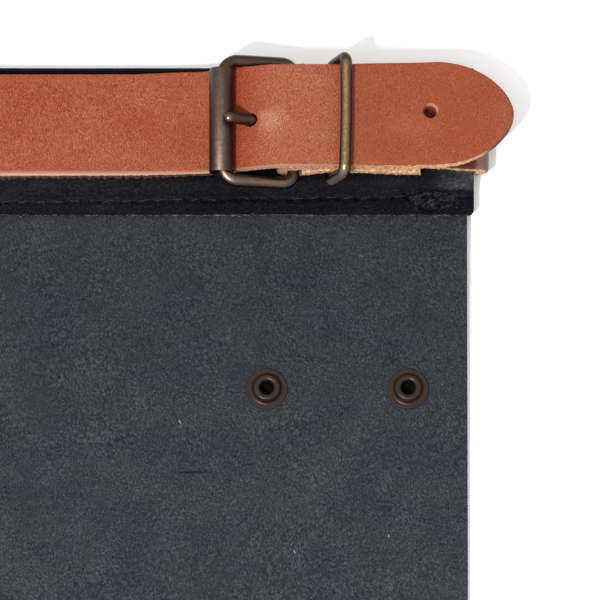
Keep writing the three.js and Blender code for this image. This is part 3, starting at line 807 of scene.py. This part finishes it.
# %% Widths and heights of the belt
HALF, FREE_HALF, TURN_HALF = 15.0, 15.4, 14.0  # half widths: strap, free end, tight turn
TIP_REACH, TIP_LENGTH, TIP_TAPER = 13.6, 22.5, 1.18
HEEL_X, FRONT_X = -50.65, -71.3
RETURN_END = HEEL_X + 37
KEEPER_TOP_X, KEEPER_FOOT_X, KEEPER_WIRE = -35.3, -39.8, 1.7
BUCKLE_WIRE = 1.85
TURN_X = BAND_OVER + 0.5
LEFT_X = -APRON_WIDTH - TURN_X
wrap = BUCKLE_WIRE + GAP + BELT_THICK / 2
return_heel = front_run + 0.5
heel_z = return_heel + wrap
keeper_foot_z = band_height + GAP + KEEPER_WIRE
return_keeper = keeper_foot_z + KEEPER_WIRE + GAP + BELT_THICK / 2
return_end = front_run + 0.7
strap_keeper = return_keeper + layer + 0.15
strap_over_end = return_end + layer + 0.2
free_heel = heel_z + wrap + layer + 0.15
free_keeper = strap_keeper + layer + 0.2
keeper_top_z = free_keeper + BELT_THICK / 2 + GAP + KEEPER_WIRE
tip_start = (TIP_REACH - TIP_LENGTH, 1.4, 15.5, FREE_HALF)
print(f"free end at {free_heel:.1f} mm over the heel bar, keeper's arch at {keeper_top_z:.1f} mm")


# %% Runs and turns
def run(start, end, step):
    """Points of x, y, height and half width from start towards end, easing in height."""
    count = max(2, math.ceil(abs(end[0] - start[0]) / step))
    t = np.arange(count)[:, None] / count
    points = np.array(start) + (np.array(end) - start) * t
    points[:, 2] = start[2] + (end[2] - start[2]) * ease(t[:, 0])
    return points


def half_turn(x, y_from, y_to, z, radius, angle, count=20, half=HALF):
    t = np.arange(count) / count
    turn = angle - math.pi * t
    y = y_from + (y_to - y_from) * t
    return np.column_stack([x + radius * np.cos(turn), y, z + radius * np.sin(turn), np.full(count, half)])


# %% The belt's route
turn_z, turn_radius = (front_run + tunnel_run) / 2, (front_run - tunnel_run) / 2
FINE, COARSE = 0.5, 5.0
STRAIGHT_TO = -98
returned = (KEEPER_FOOT_X, 0, return_keeper, HALF)
strapped = (KEEPER_FOOT_X + 2, 0.4, strap_keeper, HALF)
over_end = (RETURN_END + 1, 1.2, strap_over_end, HALF)
front_start = (FINE_FROM, -0.3, front_run, HALF + 0.3)
front_end = (STRAIGHT_TO, -0.22, front_run, HALF + 0.22)
rise = (FRONT_X - 10, 0.2, front_run + 0.4, HALF + 0.4)
at_heel = (HEEL_X - 2, -0.1, free_heel, FREE_HALF)
at_keeper = (KEEPER_TOP_X, 0.05, free_keeper, FREE_HALF)
into_turn = (TURN_X, 0.4, front_run, TURN_HALF)
into_tunnel = (TURN_X, 0.3, tunnel_run, TURN_HALF)
stretches = {
    "return": run((RETURN_END, 0, return_end, HALF), returned, FINE),
    "to heel": run(returned, (HEEL_X, -0.3, return_heel, HALF), FINE),
    "wrap": half_turn(HEEL_X, -0.3, -0.3, heel_z, wrap, -math.pi / 2, 28),
    "from heel": run((HEEL_X, -0.3, heel_z + wrap, HALF), strapped, FINE),
    "strap": run(strapped, over_end, FINE),
    "to turn": run(over_end, into_turn, FINE),
    "right turn": half_turn(TURN_X, 0.4, 0.3, turn_z, turn_radius, math.pi / 2, half=TURN_HALF),
    "tunnel": run(into_tunnel, (LEFT_X, 0, tunnel_run, HALF), COARSE),
    "left turn": half_turn(LEFT_X, 0, 0, turn_z, turn_radius, -math.pi / 2),
    "far front": run((LEFT_X, 0, front_run, HALF), front_start, COARSE),
    "front": run(front_start, front_end, FINE),
    "towards roller": run(front_end, rise, FINE),
    "rise": run(rise, at_heel, FINE),
    "free": run(at_heel, at_keeper, FINE),
    "towards tip": run(at_keeper, tip_start, FINE),
}
tip_turn = np.linspace(0, math.radians(87), 48)
tip_out = np.sin(tip_turn)
tip = np.tile(tip_start, (len(tip_turn), 1))
tip[:, 0] += TIP_LENGTH * tip_out
tip[:, 2] -= 0.5 * tip_out
tip[:, 3] *= np.cos(tip_turn) ** TIP_TAPER
stretches["tip"] = tip
route = np.concatenate(list(stretches.values()))
stretch_of = np.concatenate([[name] * len(points) for name, points in stretches.items()])
half_width, route = route[:, 3], route[:, :3]


def on(*names):
    """Which sections of the belt lie on the named stretches."""
    return np.isin(stretch_of, names)


PRESSED_X, PRESSED_REACH, PRESSED_OUT = -67.5, 4.5, 0.17  # the roller presses the belt wider
pressed_wide = PRESSED_OUT * np.exp(-(((route[:, 0] - PRESSED_X) / PRESSED_REACH) ** 2)) * on("rise")
route[:, 1] += pressed_wide
half_width = half_width + pressed_wide
print(f"belt route {length_of(route):.0f} mm long, {len(route)} sections")

# %% Edges of the belt
half_thick = BELT_THICK / 2
ahead = unit(np.gradient(route, axis=0))
aside = np.tile([0.0, 1.0, 0.0], (len(route), 1))
up = unit(np.cross(ahead, aside))

# At the tip the edge turns inwards, so the roundings are set back along the outline's own normal.
angle = np.zeros(len(route))
angle[on("tip")] = tip_turn
out_along = FREE_HALF * TIP_TAPER * np.cos(angle) ** (TIP_TAPER - 1) * np.sin(angle)
out_aside = TIP_LENGTH * np.cos(angle)
normal_long = np.hypot(out_along, out_aside)
out_along, out_aside = out_along / normal_long, out_aside / normal_long

# Where layers lie on each other the flesh side is fluffed up and nearly fills the gap.
PILED = ("return", "to heel", "wrap", "from heel", "strap", "free", "towards tip")
FLUFF, FREE_FLUFF, TIP_FLUFF = 0.2, 0.34, 0.05
fluff = np.where(on(*PILED), FLUFF, 0.0)
fluff[on("free")] = FREE_FLUFF
fluff[on("towards tip")] = np.linspace(FREE_FLUFF, TIP_FLUFF, len(stretches["towards tip"]))
loose = np.where(on(*PILED, "to turn", "right turn", "tip"), 1.0, 0.35)
loose[on("tip")] = np.clip(1.6 - 2.2 * tip_out, 0.1, 1.0)

# The knife leaned when the tip was cut, so its flesh side stands out past its grain side. Left of
# the roller, torn fibres of the flesh side stand out past the front edge.
LEAN, TIP_LEAN, TORN_OUT = 0.6, 0.1, 0.95
slant = np.zeros(len(route))
slant[on("towards tip")] = np.linspace(0, LEAN, len(stretches["towards tip"]))
slant[on("tip")] = np.linspace(LEAN, TIP_LEAN, len(tip_turn))
torn = np.array([noise.noise((x / 0.9, 3.0, 5.0)) for x in route[:, 0]])
torn = np.clip(0.3 + 1.1 * torn, 0, TORN_OUT) * np.clip((FRONT_X - 8 - route[:, 0]) / 10, 0, 1)
slant += np.where(on("front", "towards roller"), torn, 0)
far_side = np.where(on("towards tip", "tip"), 0.2, 1.0)  # the far edge is tidy there
print(f"torn fibres up to {torn.max():.2f} mm, fluff up to {fluff.max():.2f} mm")

# %% The belt's outline swept along the route
EDGE_SOFT, FLESH_SOFT = 0.5, 0.25
CROWN = 0.08  # the grain side is a little domed
SIDE = np.linspace(-half_thick + FLESH_SOFT, half_thick - EDGE_SOFT, 7)
BENDS = np.radians([9, 27, 45, 63, 81])
FLESH, ACROSS = np.linspace(-1, 1, 7), np.linspace(1, -1, 25)


def belt_ring(i):
    """The strap's outline at one section: flesh side, far edge, grain side, near edge."""
    ring = []

    def put(inset, share, high):
        """One point, by its inset from the outline, share of the half width and height."""
        sideways = share * (half_width[i] - inset * out_aside[i])
        ring.append(route[i] - ahead[i] * inset * out_along[i] + aside[i] * sideways + up[i] * high)

    def round_edge(share, bends):
        for bend in bends:
            put(EDGE_SOFT * (1 - math.cos(bend)), share, half_thick - EDGE_SOFT * (1 - math.sin(bend)))

    fray = loose[i] * draw.normal(0, 0.09, (2, len(SIDE)))
    wave = loose[i] * 0.16 * np.array([noise.noise((i * FINE / 1.1, h / 0.9, 2.0)) for h in SIDE])
    for share in FLESH:
        put(FLESH_SOFT - slant[i] * (share < 0), share, -half_thick - fluff[i])
    for j, high in enumerate(SIDE):
        put(far_side[i] * (fray[0, j] + wave[j]), 1, high - fluff[i] * (1 - j / len(SIDE)))
    round_edge(1, BENDS)
    for share in ACROSS:
        put(EDGE_SOFT, share, half_thick + CROWN * (1 - share**4))
    round_edge(-1, BENDS[::-1])
    for j in range(len(SIDE) - 1, -1, -1):
        low = 1 - j / len(SIDE)
        put(fray[1, j] - wave[j] - slant[i] * low, -1, SIDE[j] - fluff[i] * low)
    return ring


belt_rings = [belt_ring(i) for i in range(len(route))]
belt_points, belt_faces = skin(belt_rings)
first_top = len(FLESH) + len(SIDE)
last_top = first_top + 2 * len(BENDS) + len(ACROSS)
ring_spot = np.arange(len(belt_faces)) % len(belt_rings[0])
belt_slots = np.where((ring_spot >= first_top - 1) & (ring_spot < last_top), 0, 1)
belt_slots[-2:] = 1
BELT_FINISHES = [tan, raw, painted_highlight_rim]
belt = make_piece("belt_strap", belt_points, belt_faces, BELT_FINISHES, belt_slots, sharp=24)
print(f"belt of {len(belt_faces)} faces before its holes are cut")

# %% [markdown]
# ## Holes in the belt
# Leather holes are punched, so they are cut out of the finished strap. The punch flares a little at
# the top, because the rim of a punched hole is pressed down and rounded. The side of each hole's upper
# wall and rim that faces the light gets a pale finish, a painted highlight. The prong's passage is cut
# with a slightly thicker copy of the prong, and the slot for its eye with a disc on the heel bar.

# %% The prong's path
ROLLER_RADIUS, ROLLER_X = 3.55, FRONT_X - 0.45
roller_low, roller_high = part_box("roller")
roller_z = (roller_low.z + roller_high.z) / 2 / MM
PRONG_RADIUS, EYE_Y, PRONG_TIP_Y = 1.7, -0.1, -1.3
RESTS_OUT = 2.3  # from the roller's axis to where the prong's tip rests on it
rest_up = math.sqrt((ROLLER_RADIUS + PRONG_RADIUS + GAP) ** 2 - RESTS_OUT**2)
prong_stops = np.array(
    [
        (HEEL_X - 1.2, heel_z + 3.0),
        (HEEL_X - 5, heel_z + 3.2),
        (HEEL_X - 10, heel_z + 3.5),
        (HEEL_X - 13, heel_z + 5.4),
        (ROLLER_X + RESTS_OUT, roller_z + rest_up),
    ]
)


def smooth_line(stops, count):
    """A curve through the stops, by cubic pieces whose slopes come from the neighbours."""
    slopes = np.gradient(stops, axis=0)
    at = np.linspace(0, len(stops) - 1, count)
    piece = np.minimum(at.astype(int), len(stops) - 2)
    t = (at - piece)[:, None]
    a, b, da, db = stops[piece], stops[piece + 1], slopes[piece], slopes[piece + 1]
    start = (2 * t**3 - 3 * t**2 + 1) * a + (t**3 - 2 * t**2 + t) * da
    return start + (3 * t**2 - 2 * t**3) * b + (t**3 - t**2) * db


line = smooth_line(prong_stops, 40)
share = (HEEL_X - line[:, 0]) / (HEEL_X - line[-1, 0])
prong_path = np.column_stack([line[:, 0], EYE_Y + (PRONG_TIP_Y - EYE_Y) * share, line[:, 1]])


def prong_shank(extra):
    """The prong's shank with a rounded tip, made thicker by extra."""
    radius = PRONG_RADIUS + extra
    heading = prong_path[-1] - prong_path[-2]
    heading /= np.linalg.norm(heading)
    bend = np.radians([20, 40, 58, 72, 83])
    path = np.concatenate([prong_path, prong_path[-1] + heading * radius * np.sin(bend)[:, None]])
    radii = np.concatenate([np.full(len(prong_path), radius), radius * np.cos(bend)])
    return tube(path, radii, 28, (0, 1, 0))


print(f"roller axis at {roller_z:.2f} mm, prong tip at {prong_path[-1, 2]:.2f} mm")


# %% Cut the holes
def bar(radius, half_long, middle, axis):
    """A plain round bar, to cut with."""
    return turned([(radius, -half_long), (radius, half_long)], middle, axis)


def combine(piece, solids, operation, finishes, number=0, sharp=24):
    """Cut solids out of a piece or join them to it; a cut takes its own or the numbered finish."""
    for points, faces, *slots in solids:
        numbers = slots[0] if slots else np.full(len(faces), number)
        other = make_piece("other", points, faces, finishes, numbers)
        change = piece.modifiers.new("change", "BOOLEAN")
        change.operation, change.object, change.solver = operation, other, "MANIFOLD"
        changed = piece.evaluated_get(bpy.context.evaluated_depsgraph_get())
        shaped = bpy.data.meshes.new_from_object(changed)
        piece.modifiers.clear()
        piece.data = shaped
        bpy.data.objects.remove(other)
    piece.data.set_sharp_from_angle(angle=math.radians(sharp))


HOLE_RADIUS, FIRST_HOLE, HOLE_PITCH, HOLE_ASIDE = 1.7, 24.5, 24.4, 0.3
PUNCH = [(0, -1.9), (0, 0.2), (0.06, 0.6), (0.18, 1.0), (0.33, 1.27), (0.6, 1.5), (0.6, 2.2)]
PUNCH_SIDES = 48
DRAGGED = (0.55, 0.55, 0)  # the rim of the first hole is drawn out to the upper right
# Rows and side of each punch that take the painted highlight, a pale crescent facing the light.
PALE_ROW, PALE_TURN, PALE_REACH = 3, math.radians(50), 0.45  # the pale crescent on that rim
PASSAGE = 0.35  # air round the prong and its eye
top_layer = route[on("free", "towards tip", "tip")]
flares = np.array([wider for wider, _ in PUNCH])
punches = []
for x, flare in ((TIP_REACH - FIRST_HOLE, 1), (TIP_REACH - FIRST_HOLE - HOLE_PITCH, 0)):
    at = top_layer[np.argmin(np.abs(top_layer[:, 0] - x))]
    outline = [(HOLE_RADIUS + flare * wider, up_by) for wider, up_by in PUNCH]
    points, faces = turned(outline, (x, at[1] + HOLE_ASIDE, at[2]), 2, PUNCH_SIDES)
    points += np.outer(flare * np.repeat(flares, PUNCH_SIDES), DRAGGED)
    row, place = np.divmod(np.arange(len(faces)), PUNCH_SIDES)
    around = 2 * math.pi * place / PUNCH_SIDES
    pale = (np.cos(around - PALE_TURN) > PALE_REACH) & (row >= PALE_ROW)
    punches.append((points, faces, np.where(pale, 2, 0)))
eye_slot = bar(wrap + half_thick + PASSAGE, 2.05, (HEEL_X, EYE_Y, heel_z), 1)
combine(belt, [*punches, eye_slot, prong_shank(PASSAGE)], "DIFFERENCE", BELT_FINISHES, number=1)
settle(belt, "tan_leather", "belt")

# %% [markdown]
# ## Loose fibres
# A knife leaves the edge of thick leather a little hairy. Short fibres hang from the lower cut edges
# of the belt, in thick tufts left of the roller, and grey ones lie along the lower edge of the band.
# They are thin curved tubes, drawn by chance from a fixed seed.


# %% Loose fibres
def hair(start, heading, long, radius):
    """A thin curved fibre from start, in about the direction heading."""
    t = np.linspace(0, 1, 5)[:, None]
    curl = draw.normal(0, 0.35, 3)
    path = np.asarray(start) + long * (np.asarray(heading) * t + curl * t**2)
    return tube(path, radius * (1 - 0.6 * t[:, 0]), 4, (0.3, 0.2, 1.0))


HAIR_COUNT, GREY_COUNT = 1500, 260
TUFT_SIZE, TUFT_LONGER, TUFT_THICKER = 1.6, 2.5, 3
hairs = []
rounding_tip = on("tip") & (route[:, 0] > tip_start[0] + TIP_LENGTH / 3)
hairy = on(*PILED, "front", "towards roller", "tip", "to turn") & ~rounding_tip
for i in draw.choice(np.flatnonzero(hairy), HAIR_COUNT):
    in_tuft = noise.noise((route[i, 0] / TUFT_SIZE, 7.0, 0.0)) if route[i, 0] < FRONT_X else 0.0
    in_tuft = max(0.0, in_tuft)
    long = (abs(draw.normal(0, 0.22)) + 0.12) * (1 + TUFT_LONGER * in_tuft)
    low = draw.uniform(-half_thick, half_thick - 0.5)
    start = route[i] - aside[i] * (half_width[i] - 0.2) + up[i] * low
    heading = -aside[i] * out_aside[i] + ahead[i] * (out_along[i] + draw.normal(0, 0.5))
    heading = heading + (0, 0, draw.normal(-0.15, 0.3))
    thick = draw.uniform(0.04, 0.08) * (1 + TUFT_THICKER * in_tuft)
    hairs.append(hair(start, heading, long, thick))
fuzz = make_piece("belt_fibres", *gather(hairs), [brown_fibre])
settle(fuzz, "tan_leather")

grey_hairs = []
for x in draw.uniform(-138, BAND_OVER - 1, GREY_COUNT):
    start = (x, BAND_BOTTOM - 0.02, stitched_leaf + draw.uniform(-0.5, 0.65))
    heading = (draw.choice((-1, 1)), draw.normal(-0.1, 0.12), draw.normal(-0.05, 0.1))
    grey_hairs.append(hair(start, heading, abs(draw.normal(0, 0.9)) + 0.3, draw.uniform(0.06, 0.11)))
grey_fuzz = make_piece("waistband_fibres", *gather(grey_hairs), [grey_edge])
settle(grey_fuzz, "black_leather")

# %% [markdown]
# ## Buckle, roller, prong and keeper
# The frame and the keeper are bent wire, so each is a round section swept round a loop with
# rounded corners. The keeper is loose, so it sits a little askew. The roller is a loose tube on the
# frame's front bar, and the prong is a rod whose eye wraps the heel bar.


# %% Wire loops
def wire_loop(there, here, y, half_side, corners, steps=14):
    """A rounded rectangle between two bars, each given by its x and height, and its normal."""
    u = np.array([there[0] - here[0], 0, there[1] - here[1]]) / 2
    v = np.array([0, half_side, 0])
    middle = ((there[0] + here[0]) / 2, y, (there[1] + here[1]) / 2)
    u_long, v_long = np.linalg.norm(u), np.linalg.norm(v)
    turns = []
    for u_sign, v_sign, start in ((1, 1, 0), (-1, 1, 90), (-1, -1, 180), (1, -1, 270)):
        radius = corners[0] if u_sign > 0 else corners[1]
        turn = np.radians(start + np.linspace(0, 90, steps))
        along_u = u_sign * (u_long - radius) + radius * np.cos(turn)
        along_v = v_sign * (v_long - radius) + radius * np.sin(turn)
        turns.append(along_u[:, None] * u / u_long + along_v[:, None] * v / v_long)
    loop = np.concatenate(turns) + middle
    filled = []
    for before, after in zip(loop, np.roll(loop, -1, axis=0)):
        count = max(1, int(np.linalg.norm(after - before)))
        filled.append(before + (after - before) * (np.arange(count) / count)[:, None])
    return np.concatenate(filled), np.cross(u, v)


def loop_skin(loop, radius, normal, sides=28):
    """Round wire round a closed loop, with a slight hand-bent unevenness."""
    ahead = unit(np.roll(loop, -1, axis=0) - np.roll(loop, 1, axis=0))
    normal = normal / np.linalg.norm(normal)
    uneven = np.array([1 + 0.03 * noise.noise(Vector(p) / 3.5) for p in loop])
    lift = np.tile(normal, (len(loop), 1))
    return wire(loop, radius * uneven, np.cross(normal, ahead), lift, sides, closed=True)


FRAME_Y, FRAME_HALF, FRAME_CORNERS = -0.75, 18.05, (4.4, 3.6)
front_bar, heel_bar = (FRONT_X, roller_z), (HEEL_X, heel_z)
frame_loop, frame_normal = wire_loop(front_bar, heel_bar, FRAME_Y, -FRAME_HALF, FRAME_CORNERS)
frame_skin = loop_skin(frame_loop, BUCKLE_WIRE, frame_normal)
buckle = make_piece("buckle_frame_wire", *frame_skin, [buckle_metal])
settle(buckle, "buckle_metal", "buckle_frame")

KEEPER_Y, KEEPER_HALF, KEEPER_CORNERS = 0.05, 17.25, (2.3, 2.7)
KEEPER_SWING, KEEPER_LEAN = 0.4, 0.3  # its front swings to the left and leans out
arch, foot = (KEEPER_TOP_X, keeper_top_z), (KEEPER_FOOT_X, keeper_foot_z)
keeper_loop, keeper_normal = wire_loop(arch, foot, KEEPER_Y, KEEPER_HALF, KEEPER_CORNERS)
in_front = np.clip((KEEPER_Y - keeper_loop[:, 1]) / KEEPER_HALF, 0, 1)
above = (keeper_loop[:, 2] - (keeper_top_z + keeper_foot_z) / 2) / (keeper_top_z - keeper_foot_z) * 2
keeper_loop[:, 0] -= KEEPER_SWING * in_front
keeper_loop[:, 1] -= KEEPER_LEAN * in_front * above
keeper_skin = loop_skin(keeper_loop, KEEPER_WIRE, keeper_normal)
keeper = make_piece("keeper_loop_wire", *keeper_skin, [keeper_metal])
settle(keeper, "keeper_brass", "keeper_loop")


# %% Roller and prong
def collar(radius, bore, half, soft_along, soft_in):
    """The outline of a short tube whose rims are softened."""
    rim = [(radius, half - soft_along), (radius - soft_in, half), (bore, half)]
    return [(r, -h) for r, h in rim[::-1]] + rim


ROLLER_HALF, BORE = 15.6, BUCKLE_WIRE + 1.3
roller_outline = collar(ROLLER_RADIUS, BORE, ROLLER_HALF, 0.25, 0.15)
roller_skin = turned(roller_outline, (ROLLER_X, FRAME_Y - 0.3, roller_z), 1, 64, closed=True)
roller = make_piece("roller_tube", *roller_skin, [roller_metal])
settle(roller, "roller_metal", "roller")

EYE_BORE, EYE_HALF, EYE_WALL = BUCKLE_WIRE + GAP, 1.6, 2.0
eye_outline = collar(EYE_BORE + EYE_WALL, EYE_BORE, EYE_HALF, 0.4, 0.4)
eye_middle = (HEEL_X, EYE_Y, heel_z)
shank = make_piece("prong_pin", *prong_shank(0), [prong_metal])
combine(shank, [turned(eye_outline, eye_middle, 1, closed=True)], "UNION", [prong_metal], sharp=40)
combine(shank, [bar(EYE_BORE, 4, eye_middle, 1)], "DIFFERENCE", [prong_metal], sharp=40)
settle(shank, "prong_metal", "prong")

# %% [markdown]
# ## Snap studs
# Each stud is a turned cap riveted through the suede: a low dished flange, and a hollow nub that the
# snap's socket grips. Turning a fine outline gives the soft lip round the hole.

# %% Snap studs
seat = PANEL_THICK + 0.12
BACK_RIVET = [(0.001, -0.72), (4.8, -0.72), (5.0, -0.5), (5.0, -0.12), (2.4, -0.12)]
FLANGE = [(2.4, 0), (5.9, 0), (6.0, 0.1), (6.0, 0.42), (5.95, 0.52), (5.8, 0.56), (5.3, 0.52), (4.95, 0.5)]
NUB = [(4.6, 0.56), (4.34, 0.76), (4.18, 1.05), (4.08, 1.4), (4.02, 1.8), (3.97, 2.12), (3.87, 2.4)]
LIP = [(3.7, 2.62), (3.45, 2.76), (3.1, 2.8), (2.7, 2.75), (2.4, 2.6)]
HOLLOW = [(2.15, seat + 2.32), (2.0, seat + 1.95), (1.95, seat + 1.5), (1.95, 0.5), (0.001, 0.4)]
stud_outline = BACK_RIVET + [(r, seat + h) for r, h in FLANGE + NUB + LIP] + HOLLOW
STUD_SIDES = 64
first_hollow = (len(stud_outline) - len(HOLLOW)) * STUD_SIDES
BARREL_HOLE = 2.55
barrel_holes = [bar(BARREL_HOLE, 9, (x, STUD_DOWN, 0), 2) for x in STUD_IN]
combine(panel, barrel_holes, "DIFFERENCE", [suede])
for stud_name, stud_x in zip(("inner", "outer"), STUD_IN):
    base = float(panel_lift(np.array(stud_x), np.array(STUD_DOWN)))
    points, faces = turned(stud_outline, (stud_x, STUD_DOWN, base), 2, STUD_SIDES)
    stud_slots = (np.arange(len(faces)) >= first_hollow).astype(int)
    stud_slots[-2] = 0
    stud = make_piece(f"snap_stud_{stud_name}_turned", points, faces, [stud_metal, hollow], stud_slots)
    settle(stud, "stud_metal", f"snap_stud_{stud_name}")

# %% [markdown]
# ## Floor
# A wide pale floor receives the shadow and fills every view.

# %% Floor
FLOOR_HALF, FLOOR_Z = 30.0, -0.0002
floor_finish = Finish("pale floor", specular=0.05, Roughness=0.9, Base_Color=(0.95, 0.95, 0.95, 1))
floor_mesh = bpy.data.meshes.new("floor")
corners = [(a * FLOOR_HALF, b * FLOOR_HALF, FLOOR_Z) for a, b in ((-1, -1), (1, -1), (1, 1), (-1, 1))]
floor_mesh.from_pydata(corners, [], [(0, 1, 2, 3)])
floor_mesh.materials.append(floor_finish.material)
floor = bpy.data.objects.new("floor", floor_mesh)
bpy.context.collection.objects.link(floor)
print("floor")
